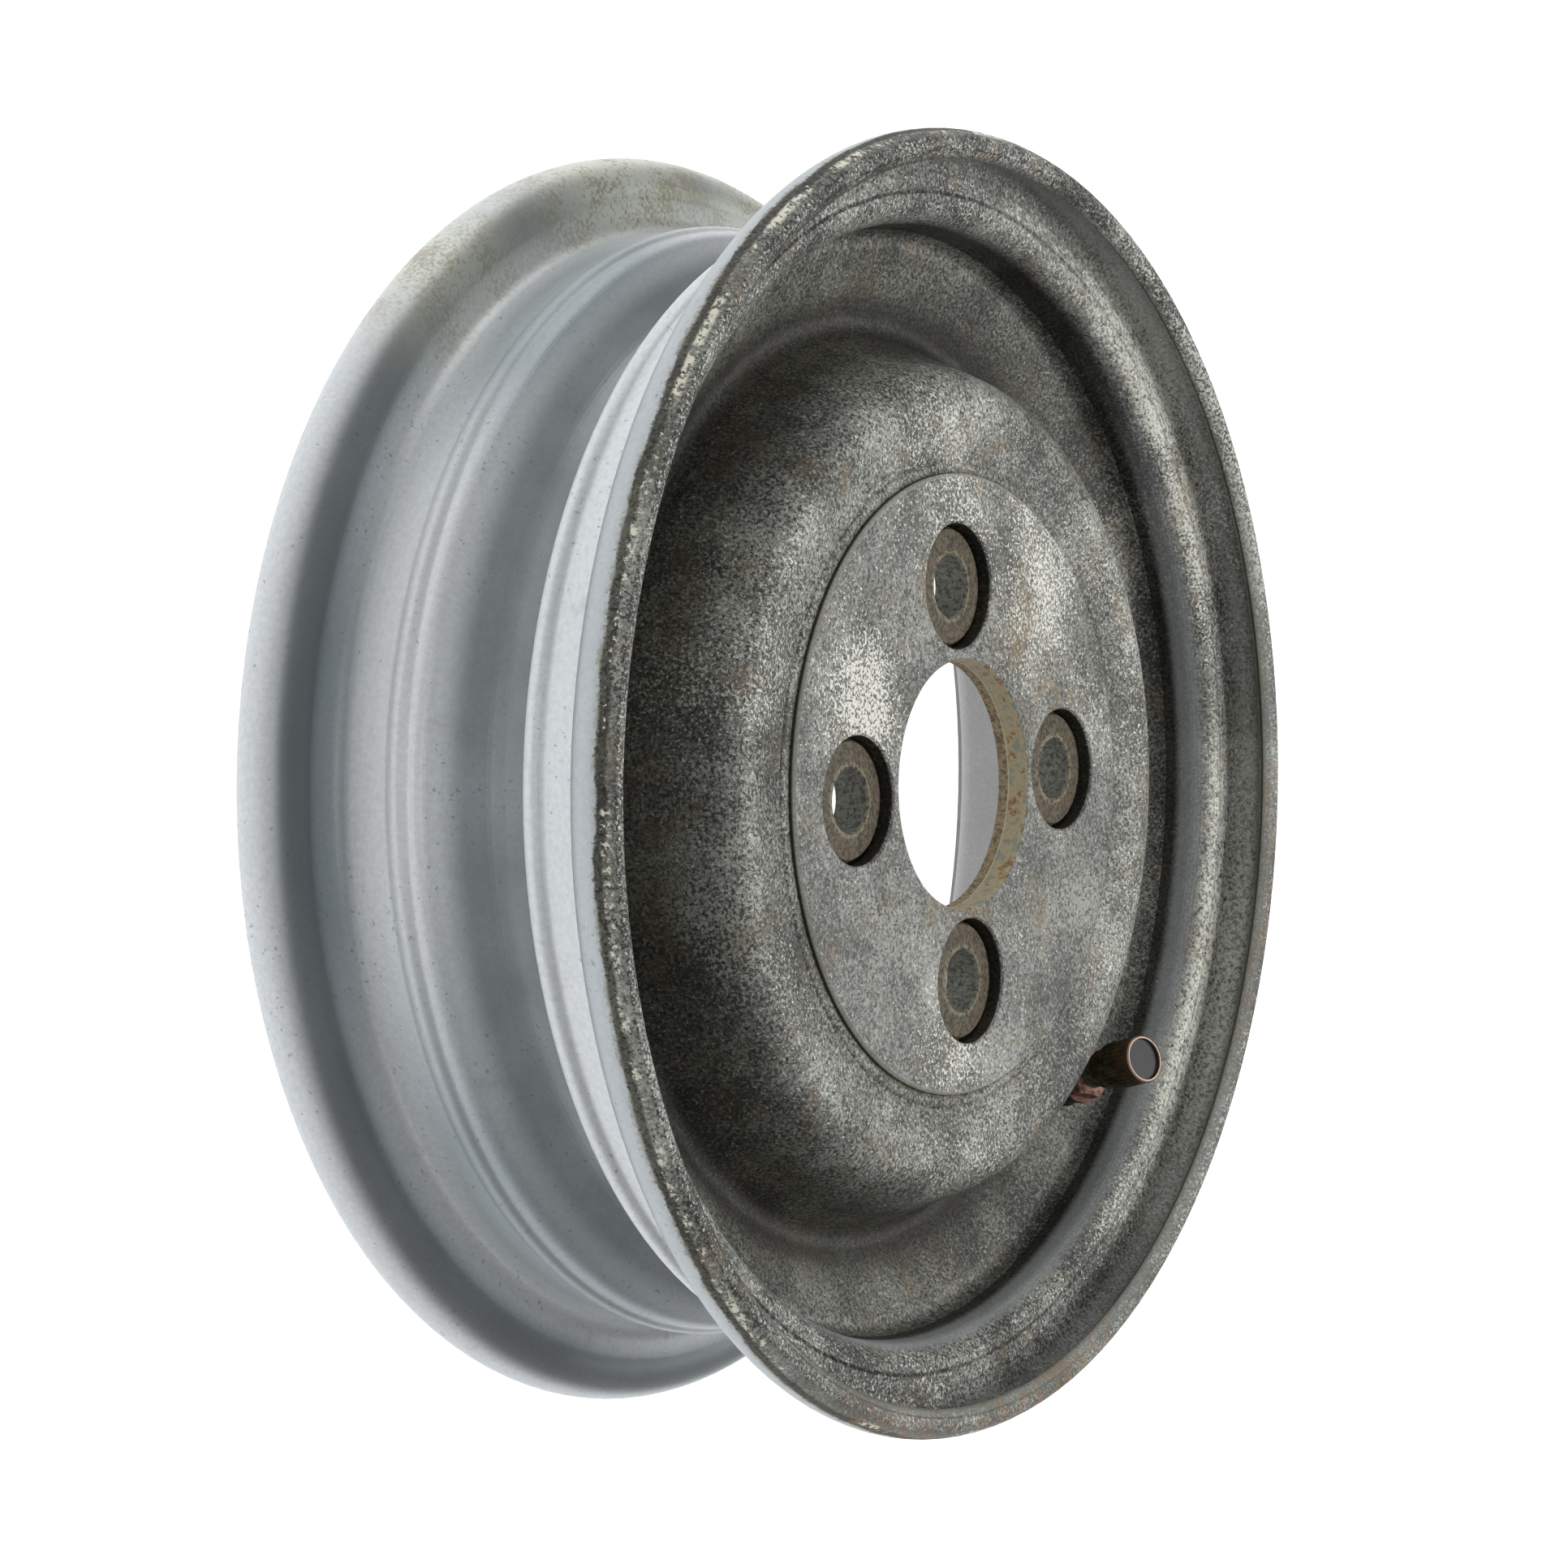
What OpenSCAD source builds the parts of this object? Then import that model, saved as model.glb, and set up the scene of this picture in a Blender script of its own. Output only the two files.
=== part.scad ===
// Ten inch steel scooter rim lying on its rear flange, axis upright, outer face up.
// A rolled drop centre barrel, a deep drawn domed disc, a thick mounting plate nested
// in the disc, and a metal clamp-in valve with its seals, washer, nut, core and cap.
// Units are millimetres. The origin is on the axis, level with the rear lip.

/* [Barrel] */
// Diameter over the bead seats at the heel
bead_d = 253.2; // [250:0.1:256]
// Diameter over the flanges
flange_d = 288; // [284:0.5:292]
// Clear width between the flange walls, tyre side
rim_w = 69.7; // [66:0.1:76]
// Sheet thickness of the barrel
barrel_t = 2.3; // [2:0.1:2.4]
// Outer radius of the rolled flange lip
lip_r = 7.8; // [7.5:0.1:9]
// How far past the crown the rear lip curls, in degrees
lip_turn = 28; // [20:1:34]
// How far past the crown the front lip curls before its hem, in degrees
hem_turn = 33; // [26:1:40]
// Taper of the bead seats in degrees
seat_taper = 5; // [3:0.5:6]
// Width of the front bead seat, flange wall to hump
front_seat_w = 16.9; // [15:0.1:18]
// Width of the rear bead seat, flange wall to hump
rear_seat_w = 13.2; // [12:0.1:14]
// Height of the humps over the seats
hump_h = 1.6; // [1.4:0.1:1.7]
// Depth of the drop centre below the bead seats
well_d = 18; // [17.4:0.1:18.6]

/* [Disc] */
// Sheet thickness of the disc
disc_t = 2.4; // [2:0.1:2.6]
// Slope of the annulus that carries the valve, in degrees
annulus_slope = 26; // [25:0.5:27]
// Height of the annulus over the rear lip where it meets the barrel
annulus_z = 70.4; // [69.8:0.1:71]
// Height of the highest ring of the dome over the rear lip
dome_z = 87.3; // [86:0.1:88.5]
// Radius of the highest ring of the dome
dome_r = 84; // [82:0.5:86]
// Radius of the dome's shoulder bend
shoulder_r = 9; // [7:0.5:10]
// Radius of the groove round the dome
groove_r = 4; // [3.4:0.1:4.5]

/* [Mounting] */
// Diameter of the centre bore
bore_d = 55.5; // [50:0.5:58]
// Diameter of the mounting plate
plate_d = 138; // [134:1:140]
// Thickness of the mounting plate
plate_t = 5.2; // [4.8:0.1:5.6]
// Height of the plate's face over the rear lip
face_z = 87.1; // [86.4:0.1:87.6]
// Pitch circle diameter of the studs
stud_pcd = 88; // [86:0.5:90]
// Number of studs
stud_n = 4; // [4:1:5]
// Diameter of the openings in the plate round the stud seats
opening_d = 28; // [26:0.5:29]
// Diameter of the stud holes
stud_d = 13.8; // [12:0.1:14.5]
// Depth of the stud seat's rim below the plate's face
seat_depth = 2.2; // [1.9:0.1:2.5]
// Length of the stud holes, from the seat to the end of the collar behind it
hole_l = 8.4; // [8:0.1:9]

/* [Valve] */
// Distance from the axis to the valve where it leaves the annulus
valve_at = 111.6; // [111.3:0.1:111.9]
// Lean of the valve towards the axis in degrees
valve_lean = 21.5; // [20.5:0.5:22.5]
// Thread diameter of the stem
stem_d = 7.7; // [7.5:0.1:7.9]
// Length of the stem in front of the annulus
stem_l = 23.1; // [22.5:0.1:24.5]
// Diameter of the cap at its open foot
cap_foot_d = 9.4; // [9.2:0.1:10]
// Diameter of the cap at its head
cap_head_d = 11.4; // [10.6:0.1:12]
// Length of the cap
cap_l = 14.6; // [14:0.1:15.2]
// Width across the flats of the nut
nut_af = 11.2; // [10.5:0.1:11.8]

/* [Hidden] */

$fn = 96;
fit = 0.03;
arc_step = 9;

hem_r = barrel_t + 0.3;
hem_fold = 130;
hem_l = 2.4;
lip_end = 0.4;
hump_bend = barrel_t + 0.05;
heel_r = 4;
bead_r = bead_d / 2;
flange_r = flange_d / 2;
lip_c_r = flange_r - lip_r;
lip_reach = lip_r - hem_r;
wall_low = lip_r * (1 + sin(lip_turn)) + lip_end * cos(lip_turn);
wall_top = wall_low + rim_w;

// Corners of the barrel's section, as radius and height
well_r = bead_r - well_d;
toe_front = [bead_r - front_seat_w * tan(seat_taper), wall_top - front_seat_w];
toe_rear = [bead_r - rear_seat_w * tan(seat_taper), wall_low + rear_seat_w];
crest = toe_front[0] + hump_h;
slope_top = [crest - 0.1, toe_front[1] - 4.3];
slope_foot = [well_r, slope_top[1] - (slope_top[0] - well_r) * tan(valve_lean)];
floor_rear = [well_r + 3.8, slope_foot[1] - 10.4];
shoulder = [toe_rear[0], toe_rear[1] + 7.6];

bore_r = bore_d / 2;
plate_r = plate_d / 2;
plate_back = face_z - plate_t;
skirt_r = toe_front[0] - barrel_t - fit;
stud_seat_z = face_z - seat_depth;

function along(r) = annulus_z - (skirt_r - r) * tan(annulus_slope);
function unit(v) = v / norm(v);
function heading(v) = atan2(v[1], v[0]);
function turned(a, b) = let (d = b - a) d > 180 ? d - 360 : d < -180 ? d + 360 : d;
function left_of(a) = [-sin(a), cos(a)];

// Points and headings along the bend at corner c between the corners p and q
function bend(p, c, q, r) =
    let (
        a = heading(c - p),
        turn = turned(a, heading(q - c)),
        side = sign(turn),
        start = c - unit(c - p) * r * tan(abs(turn) / 2),
        centre = start + left_of(a) * r * side,
        n = max(2, ceil(abs(turn) / arc_step))
    )
    [for (k = [0:n]) let (h = a + turn * k / n)
        concat(centre - left_of(h) * r * side, h)];

// Points and headings of a line through corners [r, z, bend radius]
function flat(c) = [c[0], c[1]];
function bent_line(c) =
    let (
        last = len(c) - 1,
        first = concat(flat(c[0]), heading(flat(c[1]) - flat(c[0]))),
        final = concat(flat(c[last]), heading(flat(c[last]) - flat(c[last - 1]))),
        middle = [for (i = [1:last - 1], s = bend(flat(c[i - 1]), flat(c[i]), flat(c[i + 1]), c[i][2])) s]
    )
    concat([first], middle, [final]);

// Section of a sheet that lies to the right of its bent line
module sheet_section(corners, thick) {
    line = bent_line(corners);
    far = [for (k = [len(line) - 1:-1:0]) flat(line[k]) - left_of(line[k][2]) * thick];
    polygon(concat([for (s = line) flat(s)], far));
}

// Outer corner where the flange wall meets the end of a curl that turns past the crown
function curl_corner(turn) = [
    lip_c_r + lip_r * cos(turn) + lip_r * (1 + sin(turn)) * tan(turn),
    0
];

// Corners of the front lip, from the end of its hem to the heel of the bead seat
function front_lip() =
    let (
        hem_c = [lip_c_r + lip_reach * cos(hem_turn), lip_r + lip_reach * sin(hem_turn)],
        top = [lip_c_r + lip_r * cos(hem_turn), lip_r * (1 + sin(hem_turn))],
        fold_at = top + left_of(hem_turn) * hem_r * tan((hem_fold - hem_turn) / 2),
        end = hem_c + hem_r * [cos(hem_fold), sin(hem_fold)] + left_of(hem_fold) * hem_l
    )
    [
        [end[0], wall_top + end[1], 0],
        [fold_at[0], wall_top + fold_at[1], hem_r],
        concat(curl_corner(hem_turn) + [0, wall_top], lip_r),
        [bead_r, wall_top, heel_r]
    ];

// Corners of the plain rear lip, from the heel of the bead seat to its cut edge
function rear_lip() =
    let (
        tip = [lip_c_r + lip_r * cos(lip_turn), lip_r * (1 + sin(lip_turn))]
            + left_of(lip_turn) * lip_end
    )
    [
        [bead_r, wall_low, heel_r],
        concat(curl_corner(lip_turn) + [0, wall_low], lip_r),
        [tip[0], wall_low - tip[1], 0]
    ];

// Places a shape on the valve's axis, its origin on the annulus, pointing out
module at_valve() {
    translate([valve_at, 0, along(valve_at)]) rotate([0, -valve_lean, 0]) children();
}

module at_studs() {
    for (k = [0:stud_n - 1]) {
        rotate([0, 0, 45 + k * 360 / stud_n]) translate([stud_pcd / 2, 0, 0]) children();
    }
}

// Distances along the valve's axis, measured from the annulus
wall_back = (along(valve_at) - slope_foot[1]) * cos(valve_lean)
    - (valve_at - well_r) * sin(valve_lean);
wall_front = wall_back - barrel_t;
hole_d = 8.8;
foot_d = 10.6;
bush_d = 12.8;
bush_top = 6;
clear_d = 13.4;
seal_t = 2.2;
foot_t = 1.6;
washer_d = 14;
washer_t = 1;
nut_t = 3.8;
nut_z = bush_top + washer_t;
nut_spin = 27;
core_d = 5.2;
core_l = 21;
cap_z = stem_l + 6 - cap_l;
cap_wall = 0.75;
cap_floor = 1.6;
insert_d = 9.8;

// Rolled barrel: lips, flanges, bead seats, humps and the drop centre
module rim_barrel() {
    color("#9aa1a6")
    difference() {
        rotate_extrude($fn = 180) sheet_section(concat(front_lip(), [
            [toe_front[0], toe_front[1], 1.5],
            [crest + 0.1, toe_front[1] - 1.6, hump_bend],
            [slope_top[0], slope_top[1], hump_bend],
            [slope_foot[0], slope_foot[1], 3],
            [floor_rear[0], floor_rear[1], 7],
            [shoulder[0], shoulder[1], 4],
            [shoulder[0], shoulder[1] - 2.5, 1.5],
            [crest + 0.2, toe_rear[1] + 3.5, hump_bend],
            [crest + 0.1, toe_rear[1] + 1.2, hump_bend],
            [toe_rear[0], toe_rear[1], 1.5]
        ], rear_lip()), barrel_t);
        at_valve() translate([0, 0, -wall_back - 4]) cylinder(d = hole_d, h = barrel_t + 5);
    }
}

// Section of the drawn disc from the bore out to its skirt
dome_lean = 22.4;
dish_slope = 9.6;
dome_half_turn = (90 + dish_slope - dome_lean) / 2;
dome_mid = dome_lean + dome_half_turn;
dome_line = [dome_r, dome_z - shoulder_r]
    + shoulder_r / cos(dome_half_turn) * [cos(dome_mid), sin(dome_mid)];
recess_r = plate_r + 0.6;
recess_lean = 1.3;
ledge_r = recess_r + recess_lean;
ledge = [ledge_r, dome_line[1] - (dome_line[0] - ledge_r) * tan(dish_slope)];
wall_run = [sin(dome_lean), -cos(dome_lean)];
wall_drop = (dome_line[1] - along(dome_line[0]))
    / (cos(dome_lean) + sin(dome_lean) * tan(annulus_slope));
groove_at = dome_line + wall_run * wall_drop;
skirt_bend = 2.6;
skirt_foot = toe_front[1] - 2.2;
seat_pocket = opening_d / 2 + 1.9;
seat_top = opening_d / 2 - 1;
seat_fall = 0.5;
seat_hollow = seat_top - 2.2;
collar_t = 1.9;
collar_end = stud_seat_z - hole_l;

// One stud seat half sheared up into the opening of the plate, with the collar that is
// drawn down from its hole and makes the hole long
module stud_seat() {
    collar_r = stud_d / 2 + collar_t;
    rotate_extrude() polygon([
        [stud_d / 2 + 0.4, stud_seat_z],
        [seat_top - 0.4, stud_seat_z - seat_fall],
        [seat_top, stud_seat_z - seat_fall - 0.4],
        [seat_top + 0.3, plate_back],
        [seat_pocket, plate_back],
        [seat_pocket, plate_back - disc_t],
        [seat_hollow + 0.6, plate_back - disc_t],
        [seat_hollow, stud_seat_z - seat_fall - disc_t],
        [collar_r + 0.8, stud_seat_z - disc_t],
        [collar_r, stud_seat_z - disc_t - 0.8],
        [collar_r, collar_end + 0.3],
        [collar_r - 0.3, collar_end],
        [stud_d / 2 + 0.3, collar_end],
        [stud_d / 2, collar_end + 0.3],
        [stud_d / 2, stud_seat_z - 0.4]
    ]);
}

// Domed disc with its sunk centre, raised stud seats, groove, annulus and skirt
module wheel_disc() {
    color("#6f6f6c") {
        difference() {
            rotate_extrude($fn = 180) sheet_section([
                [bore_r, plate_back, 0],
                [recess_r, plate_back, 0.6],
                [ledge[0], ledge[1], 2.5],
                [dome_line[0], dome_line[1], shoulder_r],
                [groove_at[0], groove_at[1], groove_r],
                [skirt_r, annulus_z, skirt_bend],
                [skirt_r, skirt_foot, 0]
            ], disc_t);
            at_studs() translate([0, 0, plate_back - disc_t - 1])
                cylinder(r = seat_pocket, h = disc_t + 2);
            at_valve() translate([0, 0, -disc_t - 2.5]) cylinder(d = clear_d, h = disc_t + 5);
        }
        at_studs() stud_seat();
    }
}

// Weld run all round in the crease between the barrel and the fold of the disc
weld_leg = 3.4;
weld_low = annulus_z - 3.8;

module weld_seam() {
    fold = bend(groove_at, [skirt_r, annulus_z], [skirt_r, skirt_foot], skirt_bend);
    side = [for (s = fold) if (s[1] > weld_low && s[2] < 0) flat(s)];
    wall_r = bead_r - barrel_t / cos(seat_taper) - 3 * fit;
    low = [wall_r - (wall_top - weld_low) * tan(seat_taper), weld_low];
    crown = side[0];
    high = [wall_r - (wall_top - crown[1] - weld_leg) * tan(seat_taper), crown[1] + weld_leg];
    color("#6f6f6c")
    rotate_extrude($fn = 180) polygon(concat(
        side,
        [low],
        [for (k = [0:8]) let (u = k / 8)
            (1 - u) * (1 - u) * high + 2 * u * (1 - u) * [high[0] - 0.6, crown[1] + 0.1] + u * u * crown]
    ));
}

// Thick plate nested in the disc, its openings clear of the stud seats
plate_edge = 0.7;
opening_edge = 0.4;

module mounting_plate() {
    color("#8c8c88")
    difference() {
        rotate_extrude($fn = 180) polygon([
            [bore_r, plate_back],
            [plate_r, plate_back],
            [plate_r, face_z - plate_edge],
            [plate_r - plate_edge, face_z],
            [bore_r + opening_edge, face_z],
            [bore_r, face_z - opening_edge]
        ]);
        at_studs() {
            translate([0, 0, plate_back - 1]) cylinder(d = opening_d, h = plate_t + 2);
            translate([0, 0, face_z - opening_edge])
                cylinder(d1 = opening_d, d2 = opening_d + 4 * opening_edge, h = 2 * opening_edge);
        }
    }
}

// Stem: foot under the inner seal, threaded length, bore for the core
stem_r = stem_d / 2;
foot_z = -wall_back - seal_t - foot_t;

module valve_stem() {
    color("#5b5136")
    at_valve() difference() {
        rotate_extrude() polygon([
            [0, foot_z],
            [foot_d / 2 - 0.8, foot_z],
            [foot_d / 2, foot_z + 0.8],
            [foot_d / 2, foot_z + foot_t],
            [stem_r, foot_z + foot_t],
            [stem_r, stem_l - 0.8],
            [stem_r - 0.8, stem_l],
            [0, stem_l]
        ]);
        translate([0, 0, stem_l - core_l]) cylinder(d = core_d, h = core_l + 1);
        translate([0, 0, foot_z - 1]) cylinder(d = 3, h = stem_l - foot_z);
    }
}

// Rubber seal on the tyre side, under the foot, with a collar in the barrel's hole
module valve_inner_seal() {
    color("#26262a")
    at_valve() rotate_extrude() polygon([
        [stem_r + fit, -wall_back - seal_t],
        [foot_d / 2, -wall_back - seal_t],
        [foot_d / 2, -wall_back - 0.65],
        [hole_d / 2 - fit, -wall_back - 0.1],
        [hole_d / 2 - fit, -wall_front - 0.1],
        [stem_r + fit, -wall_front - 0.1]
    ]);
}

// Rubber bush between the barrel's slope and the washer, through the disc's wider hole
module valve_outer_seal() {
    color("#26262a")
    at_valve() rotate_extrude() polygon([
        [stem_r + fit, -wall_front + 0.08],
        [bush_d / 2 - 0.6, -wall_front + 0.08],
        [bush_d / 2, -wall_front + 0.6],
        [bush_d / 2, bush_top - 0.5],
        [bush_d / 2 - 0.5, bush_top - fit],
        [stem_r + fit, bush_top - fit]
    ]);
}

module valve_washer() {
    color("#5e4034")
    at_valve() translate([0, 0, bush_top]) difference() {
        cylinder(d = washer_d, h = washer_t);
        translate([0, 0, -1]) cylinder(d = stem_d + 0.4, h = washer_t + 2);
    }
}

// Hexagon nut with its corners turned down to a cone at the top
module valve_nut() {
    color("#7b4a3a")
    at_valve() translate([0, 0, nut_z]) difference() {
        intersection() {
            rotate([0, 0, nut_spin]) cylinder(d = nut_af / cos(30), h = nut_t, $fn = 6);
            rotate_extrude() polygon([
                [0, 0], [nut_af / 2 + 1, 0], [nut_af / 2 + 1, nut_t - 1],
                [nut_af / 2 - 0.7, nut_t], [0, nut_t]
            ]);
        }
        translate([0, 0, -1]) cylinder(d = stem_d + 0.06, h = nut_t + 2);
    }
}

// Core screwed into the stem: plug, waist, gasket cone, cup and pin
module valve_core() {
    color("#b08d4f")
    at_valve() translate([0, 0, stem_l - core_l]) rotate_extrude() polygon([
        [0, 0], [1.9, 0], [1.9, 3], [1.3, 3.4], [1.3, 5.2],
        [core_d / 2 - fit, 8.4], [core_d / 2 - fit, 11], [1.6, 12],
        [1.6, 14], [core_d / 2 - fit, 14.4], [core_d / 2 - fit, 18.6],
        [1.2, 18.8], [0.8, 18.8], [0.8, 20.6], [0.5, 20.9], [0, 20.9]
    ]);
}

// Tapered metal cap with a sunk head and fine flutes
flutes = 30;
flute_d = 0.9;

module valve_cap() {
    color("#4c4631")
    at_valve() translate([0, 0, cap_z]) difference() {
        rotate_extrude() polygon([
            [stem_d / 2 + fit, 0],
            [cap_foot_d / 2 - 0.3, 0],
            [cap_foot_d / 2, 0.4],
            [cap_foot_d / 2, 1.8],
            [cap_head_d / 2, 4.5],
            [cap_head_d / 2, cap_l - 0.5],
            [cap_head_d / 2 - 0.4, cap_l],
            [insert_d / 2 + 0.15, cap_l],
            [insert_d / 2 + fit, cap_l - cap_floor],
            [0, cap_l - cap_floor],
            [0, cap_l - 2 * cap_floor],
            [stem_d / 2 + fit, cap_l - 2 * cap_floor]
        ]);
        for (k = [0:flutes - 1]) {
            rotate([0, 0, k * 360 / flutes]) translate([cap_head_d / 2 + 0.2, 0, 4.8])
                cylinder(d = flute_d, h = cap_l - 6.6, $fn = 16);
        }
    }
}

// Rubber ring that the cap presses on the end of the stem
cap_roof = cap_z + cap_l - 2 * cap_floor;

module cap_seal() {
    color("#26262a")
    at_valve() difference() {
        translate([0, 0, stem_l]) cylinder(d = stem_d - 0.2, h = cap_roof - stem_l);
        translate([0, 0, stem_l - 1]) cylinder(d = 3.4, h = cap_roof - stem_l + 2);
    }
}

// Plain disc pressed into the head of the cap
module cap_insert() {
    color("#3b3d42")
    at_valve() translate([0, 0, cap_z + cap_l - cap_floor]) cylinder(d = insert_d, h = 0.8);
}

rim_barrel();
wheel_disc();
weld_seam();
mounting_plate();
valve_stem();
valve_inner_seal();
valve_outer_seal();
valve_washer();
valve_nut();
valve_core();
valve_cap();
cap_seal();
cap_insert();
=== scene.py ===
# %% [markdown]
# A galvanised ten inch scooter rim
#
# The wheel is a rolled steel barrel with a deep pressed disc inside it, dipped in
# molten zinc and then left outdoors for years. The imported CAD model gives every
# solid its place. This script adds what zinc, weather and dirt did to it, painted
# light and shade on the metal, the screw thread of the valve, and the light and the camera.

# %% Load the frame
import math
import bmesh
import bpy
from mathutils import Euler, Matrix, Vector


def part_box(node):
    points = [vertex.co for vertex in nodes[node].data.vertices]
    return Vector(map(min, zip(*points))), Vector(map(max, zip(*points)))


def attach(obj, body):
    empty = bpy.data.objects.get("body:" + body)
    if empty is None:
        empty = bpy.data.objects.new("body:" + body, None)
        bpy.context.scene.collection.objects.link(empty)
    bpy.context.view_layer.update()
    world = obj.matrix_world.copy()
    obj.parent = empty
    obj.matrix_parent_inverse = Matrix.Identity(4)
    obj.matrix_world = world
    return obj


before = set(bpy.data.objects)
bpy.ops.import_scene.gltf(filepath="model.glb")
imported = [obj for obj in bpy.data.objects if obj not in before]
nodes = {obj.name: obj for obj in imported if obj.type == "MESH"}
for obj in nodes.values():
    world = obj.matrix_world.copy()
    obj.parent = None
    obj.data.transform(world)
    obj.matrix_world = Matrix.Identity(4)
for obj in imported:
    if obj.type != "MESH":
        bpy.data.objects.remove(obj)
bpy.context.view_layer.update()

# %% [markdown]
# Sizes that the finishes need. Millimetres are easier to read for a thing of this
# size, so one short function turns them into Blender's metres. The heights are
# read off the CAD nodes, so a finish stays on its feature when the source changes.

# %% Sizes
MM = 0.001


def mm(value):
    return value * MM


barrel_low, barrel_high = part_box("rim_barrel")
plate_low, plate_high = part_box("mounting_plate")
TOP = barrel_high[2]
FACE = plate_high[2]
FLANGE_R = barrel_high[0]
PLATE_R = plate_high[0]
STUD_AT = mm(44.0) / math.sqrt(2.0)
BORE_R = mm(27.75)
GROOVE_Z = TOP - mm(33.3)
LIP_R = mm(7.8)
SHEET = mm(2.3)
LIP_CENTRE = Vector((FLANGE_R - LIP_R, TOP - mm(5.43)))
REAR_LIP_Z = mm(4.02)
print("lip top %.1f mm, plate face %.1f mm" % (TOP / MM, FACE / MM))

# %% [markdown]
# Colours are picked as the eye sees them on a screen, in sRGB hex. Shaders work in
# linear light, so one function converts them, and nothing else writes a colour.

# %% Colours


def tint(hex_code, alpha=1.0):
    channels = []
    for start in (1, 3, 5):
        v = int(hex_code[start:start + 2], 16) / 255.0
        channels.append(v / 12.92 if v <= 0.04045 else ((v + 0.055) / 1.055) ** 2.4)
    return (*channels, alpha)


# %% [markdown]
# A material is a graph of nodes. One helper adds any node, sets its fields and
# feeds its sockets, with a number, a colour or the output of an earlier node.

# %% Node helper


def new_finish(name):
    finish = bpy.data.materials.new(name)
    finish.use_nodes = True
    finish.node_tree.nodes.clear()
    return finish, finish.node_tree


def add(tree, kind, settings=None, **feeds):
    node = tree.nodes.new("ShaderNode" + kind)
    for field, value in (settings or {}).items():
        setattr(node, field, value)
    for key, value in feeds.items():
        socket = node.inputs[int(key[1:])] if key[0] == "_" else node.inputs[key.replace("_", " ")]
        if isinstance(value, bpy.types.NodeSocket):
            tree.links.new(value, socket)
        else:
            socket.default_value = value
    return node


def math_node(tree, operation, *values, clamp=False):
    feeds = {"_%d" % k: v for k, v in enumerate(values)}
    return add(tree, "Math", {"operation": operation, "use_clamp": clamp}, **feeds).outputs[0]


def band(tree, value, low, high, soft):
    """1 where the value lies between low and high, with soft edges."""
    rise = add(tree, "MapRange", {"interpolation_type": "SMOOTHSTEP"},
               Value=value, From_Min=low - soft, From_Max=low + soft).outputs[0]
    fall = add(tree, "MapRange", {"interpolation_type": "SMOOTHSTEP"},
               Value=value, From_Min=high - soft, From_Max=high + soft,
               To_Min=1.0, To_Max=0.0).outputs[0]
    return math_node(tree, "MULTIPLY", rise, fall)


def step_up(tree, value, low, high):
    return add(tree, "MapRange", {"interpolation_type": "SMOOTHSTEP"},
               Value=value, From_Min=low, From_Max=high).outputs[0]


def blend(tree, factor, below, above):
    node = add(tree, "Mix", {"data_type": "RGBA"})
    for socket, value in ((node.inputs[0], factor), (node.inputs[6], below), (node.inputs[7], above)):
        if isinstance(value, bpy.types.NodeSocket):
            tree.links.new(value, socket)
        else:
            socket.default_value = value
    return node.outputs[2]


def dye(tree, factor, color, shade):
    """Darkens a colour by another one, so that its specks still show through."""
    node = add(tree, "Mix", {"data_type": "RGBA", "blend_type": "MULTIPLY"})
    for socket, value in ((node.inputs[0], factor), (node.inputs[6], color), (node.inputs[7], shade)):
        if isinstance(value, bpy.types.NodeSocket):
            tree.links.new(value, socket)
        else:
            socket.default_value = value
    return node.outputs[2]


def place(tree):
    """Object coordinates, the distance from the wheel's axis and the height."""
    where = add(tree, "TexCoord").outputs["Object"]
    split = add(tree, "SeparateXYZ", Vector=where)
    flat = add(tree, "CombineXYZ", X=split.outputs[0], Y=split.outputs[1])
    radius = add(tree, "VectorMath", {"operation": "LENGTH"}, _0=flat.outputs[0]).outputs["Value"]
    return where, split, radius, split.outputs[2]


def grain(tree, where, size_mm, detail=2.0, roughness=0.5, seed=0.0):
    """Noise whose lumps are about size_mm across. Another seed gives other lumps."""
    moved = add(tree, "VectorMath", {"operation": "ADD"}, _0=where,
                _1=(0.37 * seed, 0.61 * seed, 0.23 * seed))
    node = add(tree, "TexNoise", Vector=moved.outputs[0], Scale=1.0 / mm(size_mm),
               Detail=detail, Roughness=roughness)
    return node.outputs[0]


def spots(tree, split, places):
    """Soft round areas, each with its centre, reach in millimetres and strength."""
    total = None
    for x, y, reach, strength in places:
        dx = math_node(tree, "SUBTRACT", split.outputs[0], mm(x))
        dy = math_node(tree, "SUBTRACT", split.outputs[1], mm(y))
        apart = math_node(tree, "SQRT", math_node(
            tree, "ADD", math_node(tree, "MULTIPLY", dx, dx), math_node(tree, "MULTIPLY", dy, dy)))
        near = math_node(tree, "MULTIPLY", math_node(
            tree, "SUBTRACT", 1.0, step_up(tree, apart, 0.0, mm(reach))), strength)
        total = near if total is None else math_node(tree, "MAXIMUM", total, near)
    return total


# %% [markdown]
# Hot dip galvanised steel, weathered. Fresh zinc is bright and spangled. Outdoors it
# turns to grey zinc carbonate, which grows in fine crystals: the face of this wheel
# is covered in light and dark specks of about a millimetre, while the tyre kept the
# weather off the other side, which is still smooth and bluish. Both looks live in
# one graph and are mixed by which way the sheet faces.

# %% Weathered zinc
SPECK_MM = 0.8
CRYSTAL_MM = 0.75
PIT_MM = 0.8
CLUSTER_MM = 24.0


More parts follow.
